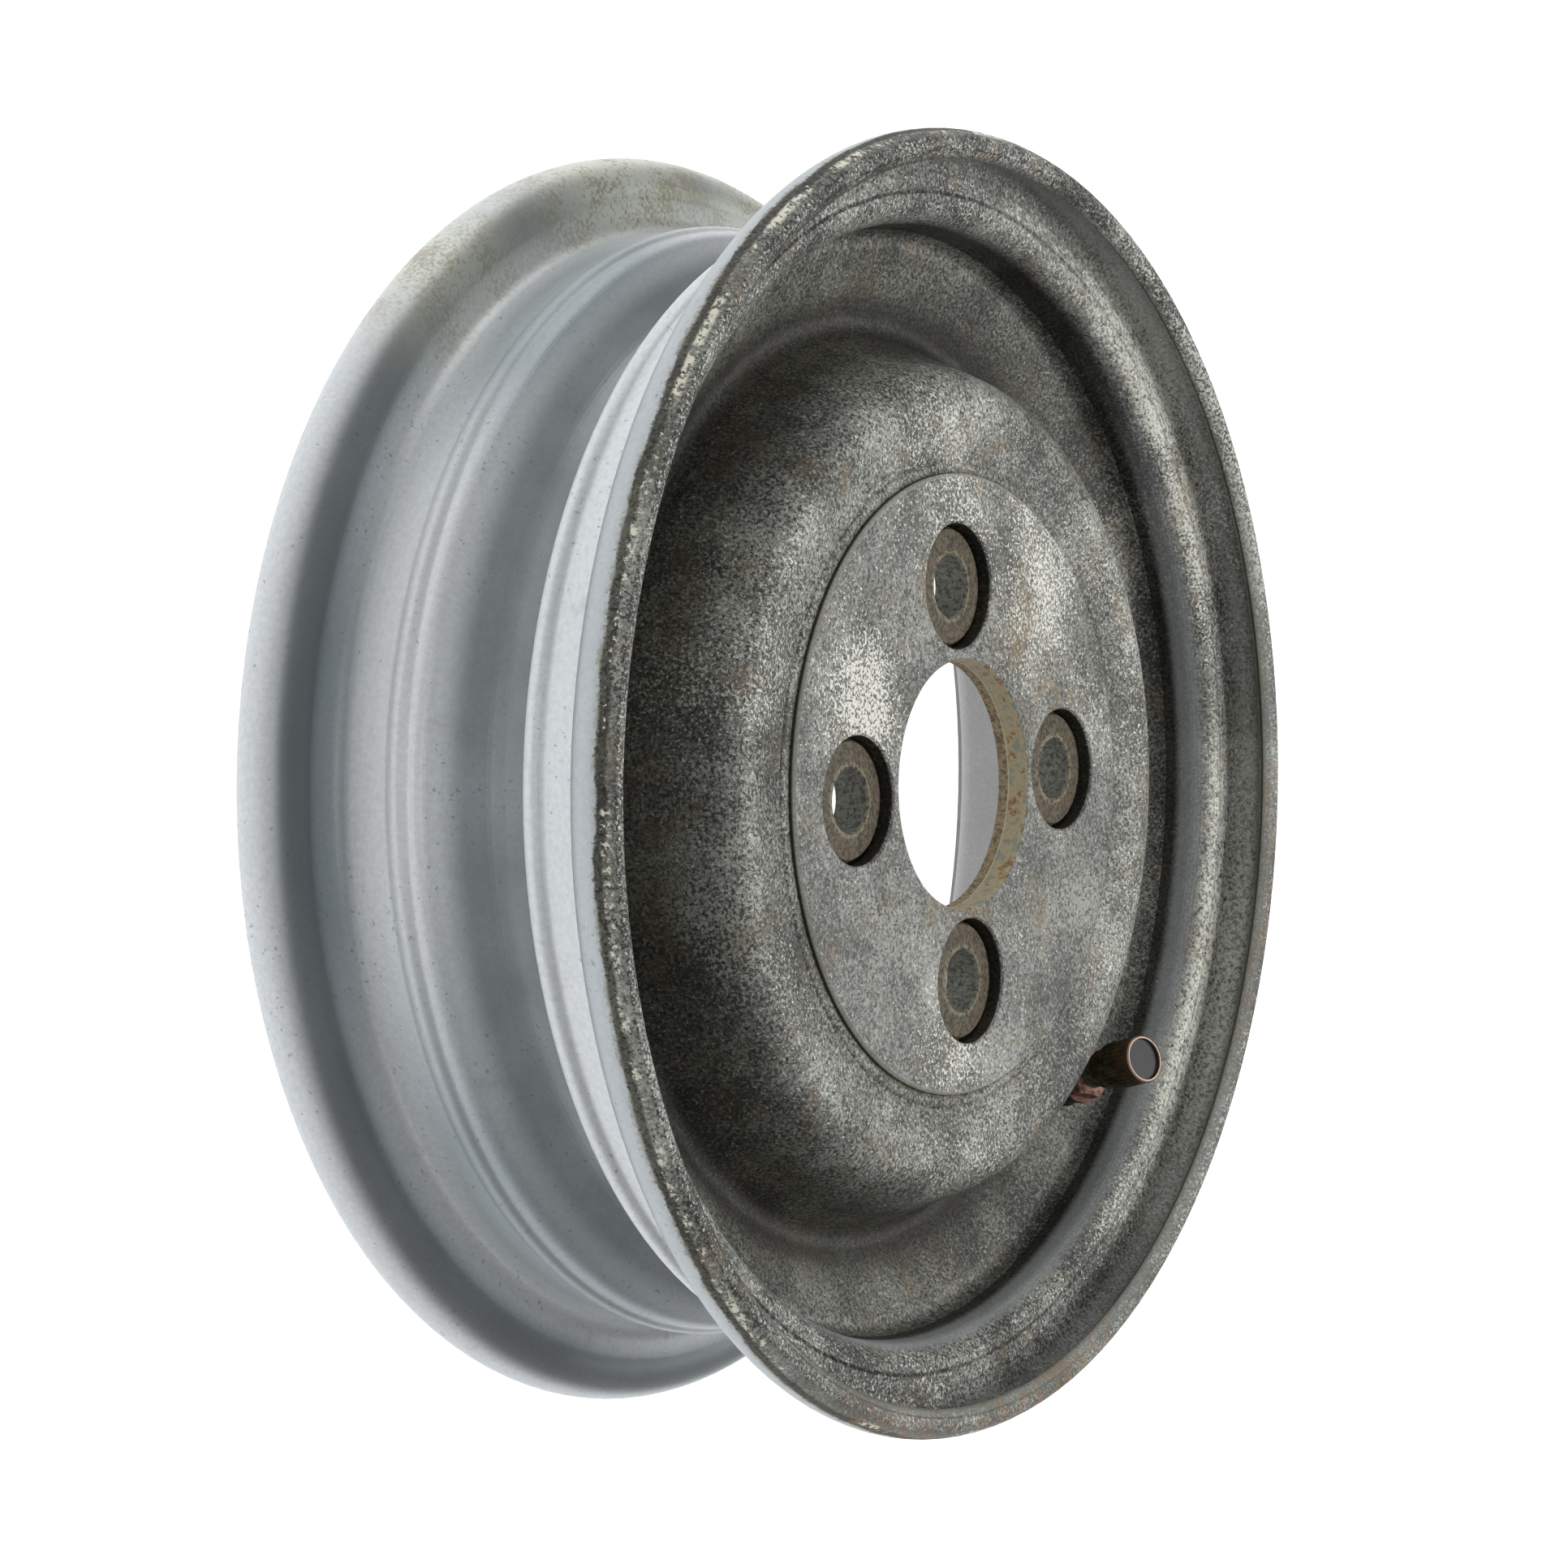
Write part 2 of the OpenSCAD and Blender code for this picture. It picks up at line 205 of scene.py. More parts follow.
def rough_zinc(tree, where, palette, growth=0.5, rot=0.5):
    """Colour and height of the weathered, speckled side.

    growth is how far white crystals have spread, rot how far dark pits have.
    """
    dark, middle, light, crystal, pit = [tint(code) for code in palette]
    speck = grain(tree, where, SPECK_MM, detail=2.0, roughness=0.7, seed=1.0)
    broad = grain(tree, where, 26.0, detail=5.0, roughness=0.65, seed=2.0)
    lifted = math_node(tree, "ADD", speck, math_node(tree, "MULTIPLY", math_node(
        tree, "SUBTRACT", broad, 0.5), 0.85))
    shade = blend(tree, step_up(tree, lifted, 0.34, 0.50), dark, middle)
    shade = blend(tree, step_up(tree, lifted, 0.50, 0.66), shade, light)

    cluster = grain(tree, where, CLUSTER_MM, detail=5.0, roughness=0.68, seed=3.0)
    spread = math_node(tree, "ADD", cluster, growth)
    grown = math_node(tree, "ADD", grain(tree, where, CRYSTAL_MM, detail=2.0, roughness=0.7, seed=4.0),
                      math_node(tree, "MULTIPLY", spread, 0.42))
    white = step_up(tree, grown, 0.97, 1.05)

    sunk = math_node(tree, "ADD", grain(tree, where, PIT_MM, detail=2.0, roughness=0.7, seed=5.0),
                     math_node(tree, "MULTIPLY", math_node(tree, "SUBTRACT", rot, cluster), 0.4))
    black = step_up(tree, sunk, 0.54, 0.60)
    shade = blend(tree, math_node(tree, "MULTIPLY", black, 0.85), shade, pit)
    shade = blend(tree, math_node(tree, "MULTIPLY", white, 0.8), shade, crystal)

    ochre = math_node(tree, "MULTIPLY", step_up(
        tree, grain(tree, where, 13.0, detail=6.0, roughness=0.75, seed=6.0), 0.53, 0.65), 0.38)
    shade = blend(tree, ochre, shade, tint("#7d6c50"))
    return shade, speck


def metal_skin(tree, color, metallic, roughness, height=None, bump_mm=0.08, strength=0.5, normal=None):
    shader = add(tree, "BsdfPrincipled", Metallic=metallic, Base_Color=color, Roughness=roughness)
    if height is not None:
        relief = add(tree, "Bump", Height=height, Strength=strength, Distance=mm(bump_mm))
        tree.links.new(relief.outputs[0], shader.inputs["Normal"])
        if normal is not None:
            tree.links.new(normal, relief.inputs["Normal"])
    add(tree, "OutputMaterial", Surface=shader.outputs[0])
    return shader


def facing(tree, split, radius):
    """How much the surface faces away from the axis, from -1 to 1."""
    normal = add(tree, "SeparateXYZ", Vector=add(tree, "NewGeometry").outputs["Normal"])
    nx = math_node(tree, "MULTIPLY", normal.outputs[0], split.outputs[0])
    ny = math_node(tree, "MULTIPLY", normal.outputs[1], split.outputs[1])
    return math_node(tree, "DIVIDE", math_node(tree, "ADD", nx, ny), radius), normal.outputs[2]


def curl_normal(tree, split, radius, height_z):
    """The true normal of the round lips, which the mesh only has in flat strips."""
    plain = add(tree, "NewGeometry").outputs["Normal"]
    middle = step_up(tree, height_z, mm(40.0), mm(41.0))
    centre_z = add(tree, "MapRange", Value=middle, To_Min=REAR_LIP_Z, To_Max=LIP_CENTRE.y).outputs[0]
    out = math_node(tree, "SUBTRACT", radius, LIP_CENTRE.x)
    up = math_node(tree, "SUBTRACT", height_z, centre_z)
    per_radius = math_node(tree, "DIVIDE", out, radius)
    arm = add(tree, "CombineXYZ", X=math_node(tree, "MULTIPLY", split.outputs[0], per_radius),
              Y=math_node(tree, "MULTIPLY", split.outputs[1], per_radius), Z=up).outputs[0]
    away = add(tree, "VectorMath", {"operation": "LENGTH"}, _0=arm).outputs["Value"]
    agree = math_node(tree, "SIGN", add(tree, "VectorMath", {"operation": "DOT_PRODUCT"}, _0=arm,
                                        _1=plain).outputs["Value"])
    turned = add(tree, "VectorMath", {"operation": "SCALE"}, _0=add(
        tree, "VectorMath", {"operation": "NORMALIZE"}, _0=arm).outputs[0], Scale=agree).outputs[0]
    on_curl = math_node(tree, "MAXIMUM", band(tree, away, LIP_R - mm(0.3), LIP_R + mm(0.3), mm(0.1)),
                        band(tree, away, LIP_R - SHEET - mm(0.3), LIP_R - SHEET + mm(0.3), mm(0.1)))
    mixed = add(tree, "Mix", {"data_type": "VECTOR"}, _0=on_curl, _4=plain, _5=turned)
    return add(tree, "VectorMath", {"operation": "NORMALIZE"}, _0=mixed.outputs[1]).outputs[0]


def barrel_zinc():
    finish, tree = new_finish("galvanised_steel_barrel")
    where, split, radius, height_z = place(tree)
    outward, upward = facing(tree, split, radius)

    # Inside: speckled like the disc, in rings. White flakes line the inside of the curl
    # and the heel of the seat, painted shade darkens the wall further in, and painted light lightens the
    # back.
    flakes = math_node(tree, "MULTIPLY", band(tree, height_z, TOP - mm(5.0), TOP - mm(3.2), mm(0.6)), 0.44)
    heel = math_node(tree, "MULTIPLY", band(tree, height_z, TOP - mm(12.6), TOP - mm(10.4), mm(1.2)), 0.20)
    crown_growth = math_node(tree, "MULTIPLY", step_up(tree, height_z, TOP - mm(2.0), TOP - mm(1.2)), 0.20)
    right = step_up(tree, split.outputs[0], mm(-20.0), mm(70.0))
    under_lip = band(tree, height_z, TOP - mm(12.8), TOP - mm(5.0), mm(1.6))
    # Painted light: two areas under the lip are lightened, with more white crystals and pale speckles.
    painted_light_under_lip = math_node(tree, "MULTIPLY", under_lip, spots(
        tree, split, [(127.0, 50.0, 110.0, 1.0), (-2.0, 137.0, 90.0, 0.8)]))
    painted_light_growth = math_node(tree, "MULTIPLY", painted_light_under_lip, 0.10)
    upper = spots(tree, split, [(30.0, 125.0, 60.0, 0.22)])
    ringed = math_node(tree, "ADD", math_node(tree, "ADD", flakes, heel), math_node(
        tree, "ADD", math_node(tree, "ADD", crown_growth, painted_light_growth), upper))
    weathered, relief = rough_zinc(
        tree, where, ("#50504c", "#7a7b76", "#999b94", "#e0e0d6", "#262521"),
        growth=math_node(tree, "ADD", ringed, 0.28), rot=math_node(tree, "ADD", ringed, 0.44))
    # Painted shade: the inner wall from the disc up to the seat is darkened all round.
    painted_shade_inner_wall = math_node(tree, "MULTIPLY", step_up(tree, height_z, mm(56.0), mm(62.0)), math_node(
        tree, "SUBTRACT", 1.0, step_up(tree, height_z, TOP - mm(17.0), TOP - mm(13.5))))
    # Painted light: on the right, the band at the seat's heel is lightened and spared the painted shade.
    seat = math_node(tree, "MULTIPLY", band(tree, height_z, TOP - mm(19.0), TOP - mm(13.6), mm(1.4)), right)
    painted_shade_inner_wall = math_node(tree, "MULTIPLY", painted_shade_inner_wall, math_node(tree, "SUBTRACT", 1.0, seat))
    weathered = dye(tree, painted_shade_inner_wall, weathered, tint("#8c8a86"))
    weathered = blend(tree, math_node(tree, "MULTIPLY", seat, 0.6), weathered, tint("#b9bfc0"))
    # Painted light: the barrel's inside behind the disc is lightened, as if lit from behind.
    painted_light_behind_disc = math_node(tree, "SUBTRACT", 1.0, step_up(tree, height_z, mm(54.0), mm(60.0)))
    weathered = blend(tree, math_node(tree, "MULTIPLY", painted_light_behind_disc, 0.8), weathered, tint("#b2b2b4"))
    # Painted light: the hollow under the lip is lightened, mostly on the left.
    painted_light_hollow = band(tree, height_z, TOP - mm(10.0), TOP - mm(3.4), mm(1.4))
    painted_light_hollow = math_node(tree, "MULTIPLY", painted_light_hollow, math_node(
        tree, "SUBTRACT", 1.0, math_node(tree, "MULTIPLY", right, 0.75)))
    weathered = blend(tree, math_node(tree, "MULTIPLY", painted_light_hollow, 0.45), weathered, tint("#d4d8d8"))
    # Painted light: pale speckles over the lightened areas under the lip.
    painted_light_speckle = math_node(tree, "MULTIPLY", painted_light_under_lip, step_up(
        tree, grain(tree, where, 1.1, detail=3.0, roughness=0.75, seed=14.0), 0.36, 0.62))
    weathered = blend(tree, math_node(tree, "MULTIPLY", painted_light_speckle, 0.8), weathered, tint("#dcdcd0"))
    # Painted light: the rounded inside of the lip on the right is lightened.
    painted_light_lip_curve = math_node(tree, "MULTIPLY", band(tree, height_z, TOP - mm(5.6), TOP - mm(0.2), mm(0.8)), right)
    weathered = blend(tree, math_node(tree, "MULTIPLY", painted_light_lip_curve, 0.55), weathered, tint("#9ea29a"))
    # Painted shade: the crease under the lip's curl is darkened, and olive dirt lies in it in patches.
    painted_shade_crease = band(tree, height_z, TOP - mm(2.9), TOP - mm(1.9), mm(0.6))
    weathered = dye(tree, math_node(tree, "MULTIPLY", painted_shade_crease, 0.8), weathered, tint("#6c6c66"))
    olive = math_node(tree, "MULTIPLY", painted_shade_crease, step_up(
        tree, grain(tree, where, 7.0, detail=3.0, roughness=0.7, seed=12.0), 0.50, 0.60))
    weathered = blend(tree, math_node(tree, "MULTIPLY", olive, 0.5), weathered, tint("#7a6d4b"))

    # The tyre side: smooth, with faint clouds and a few dark specks
    cloud = grain(tree, where, 34.0, detail=5.0, roughness=0.55, seed=1.0)
    smooth = blend(tree, step_up(tree, cloud, 0.34, 0.66), tint("#83898b"), tint("#949a9d"))
    # Painted highlight: the bead seats and the outer edge of each flange are lightened.
    painted_highlight_rings = math_node(tree, "MAXIMUM", band(tree, radius, mm(120.0), mm(133.0), mm(3.0)),
                       step_up(tree, radius, FLANGE_R - mm(3.4), FLANGE_R - mm(0.6)))
    smooth = blend(tree, math_node(tree, "MULTIPLY", painted_highlight_rings, 0.85), smooth, tint("#dadee1"))
    # Painted shade: the tyre side of the front lip is darkened.
    painted_shade_front_lip = step_up(tree, height_z, TOP - mm(15.0), TOP - mm(9.0))
    smooth = dye(tree, math_node(tree, "MULTIPLY", painted_shade_front_lip, 0.8), smooth, tint("#c6cacc"))
    # Painted shade: two areas over the seats and wells and one at the rear heel are darkened.
    shaded = math_node(tree, "MULTIPLY", band(tree, height_z, mm(18.0), mm(36.0), mm(5.0)),
                       spots(tree, split, [(-124.0, 34.0, 70.0, 1.4), (7.0, -125.0, 100.0, 1.4)]))
    painted_shade_heel = math_node(tree, "MULTIPLY", band(tree, height_z, mm(10.5), mm(15.0), mm(1.5)),
                            spots(tree, split, [(-98.0, -83.0, 90.0, 1.3)]))
    shaded = math_node(tree, "MINIMUM", math_node(tree, "MAXIMUM", shaded, painted_shade_heel), 1.0)
    smooth = dye(tree, shaded, smooth, tint("#c4cacb"))
    # Painted shade: the walls of both flanges are darkened.
    painted_shade_flange_walls = band(tree, radius, mm(134.5), mm(141.5), mm(2.0))
    smooth = blend(tree, math_node(tree, "MULTIPLY", painted_shade_flange_walls, 0.5), smooth, tint("#7d8284"))
    veil = grain(tree, where, 1.2, detail=2.0, roughness=0.7, seed=11.0)
    smooth = blend(tree, math_node(tree, "MULTIPLY", step_up(tree, veil, 0.30, 0.70), 0.14),
                   smooth, tint("#5d6163"))
    fine = math_node(tree, "ADD", grain(tree, where, 1.2, detail=1.0, roughness=0.5, seed=2.0),
                     math_node(tree, "MULTIPLY", cloud, 0.30))
    smooth = blend(tree, math_node(tree, "MULTIPLY", step_up(tree, fine, 0.85, 0.92), 0.45),
                   smooth, tint("#5c5f60"))
    scuff = grain(tree, where, 18.0, detail=4.0, roughness=0.75, seed=7.0)
    smooth = blend(tree, math_node(tree, "MULTIPLY", step_up(tree, scuff, 0.60, 0.72), 0.3),
                   smooth, tint("#8b8c86"))

    # Olive and brown dirt over the rear flange, where the wheel leaned against something. Painted light
    # lightens the same spots first.
    rear = math_node(tree, "SUBTRACT", 1.0, step_up(tree, height_z, mm(12.4), mm(15.0)))
    dirt_and_light_spots = spots(tree, split, [
        (-112.0, 88.0, 62.0, 1.0), (-140.0, 28.0, 42.0, 0.75), (-70.0, 125.0, 50.0, 0.9)])
    soil = grain(tree, where, 1.0, detail=3.0, roughness=0.75, seed=3.0)
    patches = grain(tree, where, 15.0, detail=4.0, roughness=0.7, seed=13.0)
    # Painted light: the spots are lightened before the dirt goes on.
    smooth = blend(tree, math_node(tree, "MULTIPLY", rear, math_node(tree, "MULTIPLY", dirt_and_light_spots, 0.9)),
                   smooth, tint("#d3d7cb"))
    dirt = math_node(tree, "MULTIPLY", math_node(tree, "MULTIPLY", rear, dirt_and_light_spots), step_up(
        tree, math_node(tree, "ADD", soil, math_node(tree, "MULTIPLY", patches, 0.9)), 0.90, 1.12))
    smooth = blend(tree, math_node(tree, "MULTIPLY", dirt, 0.75), smooth, tint("#86754f"))

    # Which side is it: a normal that leans out belongs to the tyre side, and so does
    # one that looks back towards the middle of the rim's width
    middle = step_up(tree, height_z, mm(30.0), mm(60.0))
    back = math_node(tree, "SUBTRACT", math_node(tree, "MULTIPLY", middle, 2.0), 1.0)
    lean = math_node(tree, "SUBTRACT", outward, math_node(tree, "MULTIPLY", math_node(
        tree, "MULTIPLY", back, upward), 0.6))
    tyre_side = step_up(tree, lean, -0.04, 0.10)

    # The front lip: the weather crept in from the crown as dark dots with an ochre
    # fringe. Behind the fringe come a sooty strip and a grey band with a few chips.
    dots = math_node(tree, "MULTIPLY", math_node(
        tree, "SUBTRACT", grain(tree, where, 0.9, detail=2.0, roughness=0.7, seed=4.0), 0.5), mm(3.4))
    slow = math_node(tree, "MULTIPLY", math_node(
        tree, "SUBTRACT", grain(tree, where, 30.0, detail=4.0, roughness=0.6, seed=8.0), 0.5), mm(4.0))
    edge = math_node(tree, "ADD", height_z, math_node(tree, "ADD", dots, slow))
    past = step_up(tree, edge, TOP - mm(4.4), TOP - mm(4.1))
    strip_grey = rough_zinc(
        tree, where, ("#5a5b56", "#7f817b", "#a3a59e", "#e2dfd0", "#2f2d27"), growth=0.24, rot=0.46)[0]
    strip_grey = blend(tree, math_node(tree, "MULTIPLY", right, 0.55), strip_grey, tint("#7d817a"))
    outer = blend(tree, past, smooth, strip_grey)
    fringe = band(tree, edge, TOP - mm(5.0), TOP - mm(4.2), mm(0.3))
    gappy = step_up(tree, grain(tree, where, 8.0, detail=3.0, roughness=0.7, seed=5.0), 0.40, 0.60)
    outer = blend(tree, math_node(tree, "MULTIPLY", math_node(tree, "MULTIPLY", fringe, gappy), 0.6),
                  outer, tint("#7d7152"))
    soot = band(tree, math_node(tree, "ADD", height_z, slow), TOP - mm(4.2), TOP - mm(2.2), mm(0.4))
    outer = dye(tree, math_node(tree, "MULTIPLY", soot, 0.9), outer, tint("#807e74"))
    crown = band(tree, height_z, TOP - mm(2.6), TOP - mm(1.0), mm(0.4))
    chip = grain(tree, where, 1.6, detail=3.0, roughness=0.7, seed=6.0)
    worn = grain(tree, where, 26.0, detail=3.0, roughness=0.6, seed=9.0)
    chipped = math_node(tree, "MULTIPLY", crown, step_up(tree, math_node(
        tree, "ADD", chip, math_node(tree, "MULTIPLY", worn, 0.9)), 1.00, 1.06))
    knocks = spots(tree, split, [
        (109.0, -85.0, 56.0, 0.8), (60.0, -128.0, 40.0, 0.6),
        (129.0, 53.0, 40.0, 0.5), (111.0, 85.0, 34.0, 0.5)])
    rust = math_node(tree, "MULTIPLY", math_node(tree, "MULTIPLY", past, knocks), step_up(
        tree, grain(tree, where, 3.4, detail=4.0, roughness=0.75, seed=10.0), 0.46, 0.58))
    outer = blend(tree, math_node(tree, "MULTIPLY", rust, 0.75), outer, tint("#9a7350"))
    outer = blend(tree, math_node(tree, "MULTIPLY", chipped, 0.9), outer, tint("#e2dfcf"))
    top_rust = math_node(tree, "MULTIPLY", rust, step_up(tree, height_z, TOP - mm(2.6), TOP - mm(1.8)))
    weathered = blend(tree, math_node(tree, "MULTIPLY", top_rust, 0.6), weathered, tint("#9a7350"))

    color = blend(tree, tyre_side, weathered, outer)
    clean = math_node(tree, "MULTIPLY", tyre_side, math_node(tree, "SUBTRACT", 1.0, past))
    gloss = add(tree, "MapRange", Value=clean, To_Min=0.68, To_Max=0.46).outputs[0]
    metal = add(tree, "MapRange", Value=clean, To_Min=0.25, To_Max=0.30).outputs[0]
    relief = math_node(tree, "MULTIPLY", relief, math_node(tree, "SUBTRACT", 1.0, clean))
    metal_skin(tree, color, metal, gloss, relief, bump_mm=0.22, strength=0.5,
               normal=curl_normal(tree, split, radius, height_z))
    return finish


def disc_zinc():
    finish, tree = new_finish("galvanised_steel_disc")
    where, split, radius, height_z = place(tree)
    grown = spots(tree, split, [
        (-78.0, -30.0, 42.0, 0.20), (-71.0, 53.0, 40.0, 0.22), (40.0, 108.0, 52.0, 0.24),
        (20.0, 84.0, 40.0, 0.10), (110.0, 60.0, 50.0, 0.16), (60.0, -60.0, 40.0, 0.08)])
    shoulder = math_node(tree, "MULTIPLY", band(tree, radius, mm(74.0), mm(88.0), mm(4.0)), 0.10)
    color, relief = rough_zinc(
        tree, where, ("#4c4c47", "#7d7e78", "#a6a8a0", "#e2e2d8", "#2b2a24"),
        growth=math_node(tree, "ADD", math_node(tree, "ADD", grown, shoulder), 0.30), rot=0.54)

    # Painted shade: the dome wall, the groove and the annulus are darkened, with olive and brown stains in
    # patches on the wall
    wall = math_node(tree, "SUBTRACT", 1.0, step_up(tree, height_z, FACE - mm(17.0), FACE - mm(5.0)))
    painted_shade_and_stain_wall = math_node(tree, "MULTIPLY", band(tree, radius, mm(90.0), mm(111.0), mm(5.0)), wall)
    color = dye(tree, painted_shade_and_stain_wall, color, tint("#b0ada6"))
    damp = grain(tree, where, 15.0, detail=5.0, roughness=0.7, seed=7.0)
    stain = math_node(tree, "MULTIPLY", painted_shade_and_stain_wall, step_up(tree, damp, 0.48, 0.64))
    color = blend(tree, math_node(tree, "MULTIPLY", stain, 0.35), color, tint("#4d4433"))
    # Painted shade: the bottom of the groove is darkened.
    low = math_node(tree, "SUBTRACT", 1.0, step_up(tree, height_z, GROOVE_Z + mm(0.6), GROOVE_Z + mm(3.4)))
    color = dye(tree, math_node(tree, "MULTIPLY", low, 0.6), color, tint("#6f6c66"))
    # Painted shade: the annulus beyond the dome is darkened.
    painted_shade_annulus = step_up(tree, radius, mm(98.0), mm(104.0))
    color = dye(tree, math_node(tree, "MULTIPLY", painted_shade_annulus, 0.6), color, tint("#b0aea8"))

    # A broken line of ochre dirt beside the plate's edge
    beside = band(tree, radius, PLATE_R, PLATE_R + mm(0.9), mm(0.3))
    ragged = step_up(tree, grain(tree, where, 2.6, detail=5.0, roughness=0.75, seed=8.0), 0.40, 0.60)
    color = blend(tree, math_node(tree, "MULTIPLY", math_node(tree, "MULTIPLY", beside, ragged), 0.5),
                  color, tint("#857a5c"))

    # The recesses round the studs hold brown dirt, and nuts rubbed their rims
    fold_x = math_node(tree, "SUBTRACT", math_node(tree, "ABSOLUTE", split.outputs[0]), STUD_AT)
    fold_y = math_node(tree, "SUBTRACT", math_node(tree, "ABSOLUTE", split.outputs[1]), STUD_AT)
    stud = math_node(tree, "SQRT", math_node(tree, "ADD", math_node(tree, "POWER", fold_x, 2.0),
                                             math_node(tree, "POWER", fold_y, 2.0)))
    recess = math_node(tree, "SUBTRACT", 1.0, step_up(tree, stud, mm(13.6), mm(14.4)))
    soil = grain(tree, where, 1.0, detail=3.0, roughness=0.75, seed=9.0)
    brown = blend(tree, step_up(tree, soil, 0.40, 0.58), tint("#26221a"), tint("#625842"))
    rusty = step_up(tree, grain(tree, where, 3.4, detail=4.0, roughness=0.75, seed=10.0), 0.48, 0.62)
    brown = blend(tree, math_node(tree, "MULTIPLY", rusty, 0.5), brown, tint("#58402f"))
    inside = math_node(tree, "SUBTRACT", 1.0, step_up(tree, stud, mm(6.9), mm(7.3)))
    steel = blend(tree, step_up(tree, soil, 0.36, 0.60), tint("#40413d"), tint("#777a75"))
    brown = blend(tree, inside, brown, steel)
    color = blend(tree, math_node(tree, "MULTIPLY", recess, 0.95), color, brown)
    rim = band(tree, stud, mm(7.0), mm(8.1), mm(0.4))
    color = blend(tree, math_node(tree, "MULTIPLY", rim, math_node(
        tree, "MULTIPLY", step_up(tree, soil, 0.40, 0.52), 0.6)), color, tint("#8f8870"))

    # Bore wall, grey brown with old grease
    bore = math_node(tree, "SUBTRACT", 1.0, step_up(tree, radius, BORE_R + mm(0.1), BORE_R + mm(0.5)))
    grease = blend(tree, step_up(tree, soil, 0.36, 0.62), tint("#5d4b34"), tint("#a3906c"))
    color = blend(tree, math_node(tree, "MULTIPLY", bore, 0.85), color, grease)
    metal_skin(tree, color, 0.25, 0.62, relief, bump_mm=0.2, strength=0.6)
    return finish


def plate_zinc():
    finish, tree = new_finish("galvanised_steel_plate")
    where, split, radius, height_z = place(tree)
    grown = spots(tree, split, [
        (-46.0, -12.0, 30.0, 0.46), (-42.0, 42.0, 32.0, 0.30), (-5.0, 50.0, 34.0, 0.40),
        (-15.0, 62.0, 26.0, 0.26), (36.0, -45.0, 28.0, 0.28), (30.0, 52.0, 26.0, 0.26)])
    color, relief = rough_zinc(
        tree, where, ("#535450", "#7a7b76", "#a0a19b", "#f0eee4", "#3a3932"),
        growth=math_node(tree, "ADD", grown, 0.30), rot=0.44)

    # Painted highlight: the chamfer round the plate is lightened all round
    painted_highlight_chamfer = band(tree, radius, PLATE_R - mm(0.8), PLATE_R + mm(1.0), mm(0.15))
    color = blend(tree, math_node(tree, "MULTIPLY", painted_highlight_chamfer, 0.55), color, tint("#b9b9b0"))

    # Ochre runs to the right of the bore
    runs = spots(tree, split, [(-7.0, 41.0, 16.0, 1.0), (13.0, 40.0, 18.0, 0.9), (-38.0, 20.0, 10.0, 0.7)])
    flow = step_up(tree, grain(tree, where, 3.0, detail=4.0, roughness=0.8, seed=7.0), 0.44, 0.58)
    color = blend(tree, math_node(tree, "MULTIPLY", math_node(tree, "MULTIPLY", runs, flow), 0.45),
                  color, tint("#94805d"))

    # Walls of the bore and of the stud openings
    below = math_node(tree, "SUBTRACT", 1.0, step_up(tree, height_z, FACE - mm(0.9), FACE - mm(0.3)))
    soil = grain(tree, where, 4.2, detail=4.0, roughness=0.75, seed=8.0)
    color = dye(tree, below, color, tint("#6a655a"))
    bore = math_node(tree, "SUBTRACT", 1.0, step_up(tree, radius, BORE_R + mm(0.1), BORE_R + mm(0.5)))
    wall = blend(tree, step_up(tree, soil, 0.38, 0.50), tint("#8b9088"), tint("#b3a684"))
    wall = blend(tree, step_up(tree, soil, 0.52, 0.64), wall, tint("#8a5f34"))
    color = blend(tree, math_node(tree, "MULTIPLY", bore, 0.9), color, wall)
    seam = band(tree, height_z, FACE - mm(5.4), FACE - mm(4.9), mm(0.15))
    color = blend(tree, math_node(tree, "MULTIPLY", math_node(tree, "MULTIPLY", bore, seam), 0.7),
                  color, tint("#c9c0a5"))
    metal_skin(tree, color, 0.25, 0.6, relief, bump_mm=0.2, strength=0.6)
    return finish


# %% [markdown]
# The valve. The stem and cap are brass that has gone dark olive outdoors, the nut and
# washer are plain steel and have rusted, and the seals are black rubber. The cap's
# rolled edge is where fingers rub, so it is bright.

# %% Valve finishes
valve_low, valve_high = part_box("valve_stem")
VALVE_LEAN = math.radians(21.5)
VALVE_AXIS = Vector((-math.sin(VALVE_LEAN), 0.0, math.cos(VALVE_LEAN)))
nut_low, nut_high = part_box("valve_nut")
NUT_AT = (Vector(nut_low) + Vector(nut_high)) / 2.0


def along_valve(tree, where):
    """Distance along the valve's axis from the middle of the nut."""
    offset = add(tree, "VectorMath", {"operation": "SUBTRACT"}, _0=where, _1=tuple(NUT_AT))
    return add(tree, "VectorMath", {"operation": "DOT_PRODUCT"}, _0=offset.outputs[0],
               _1=tuple(VALVE_AXIS)).outputs["Value"]


def plain_finish(name, dark, light, size_mm, metallic, roughness, relief=0.3):
    finish, tree = new_finish(name)
    where, split, radius, height_z = place(tree)
    mottle = grain(tree, where, size_mm, detail=4.0, roughness=0.6)
    color = blend(tree, step_up(tree, mottle, 0.36, 0.64), tint(dark), tint(light))
    metal_skin(tree, color, metallic, roughness, mottle, bump_mm=0.1, strength=relief)
    return finish


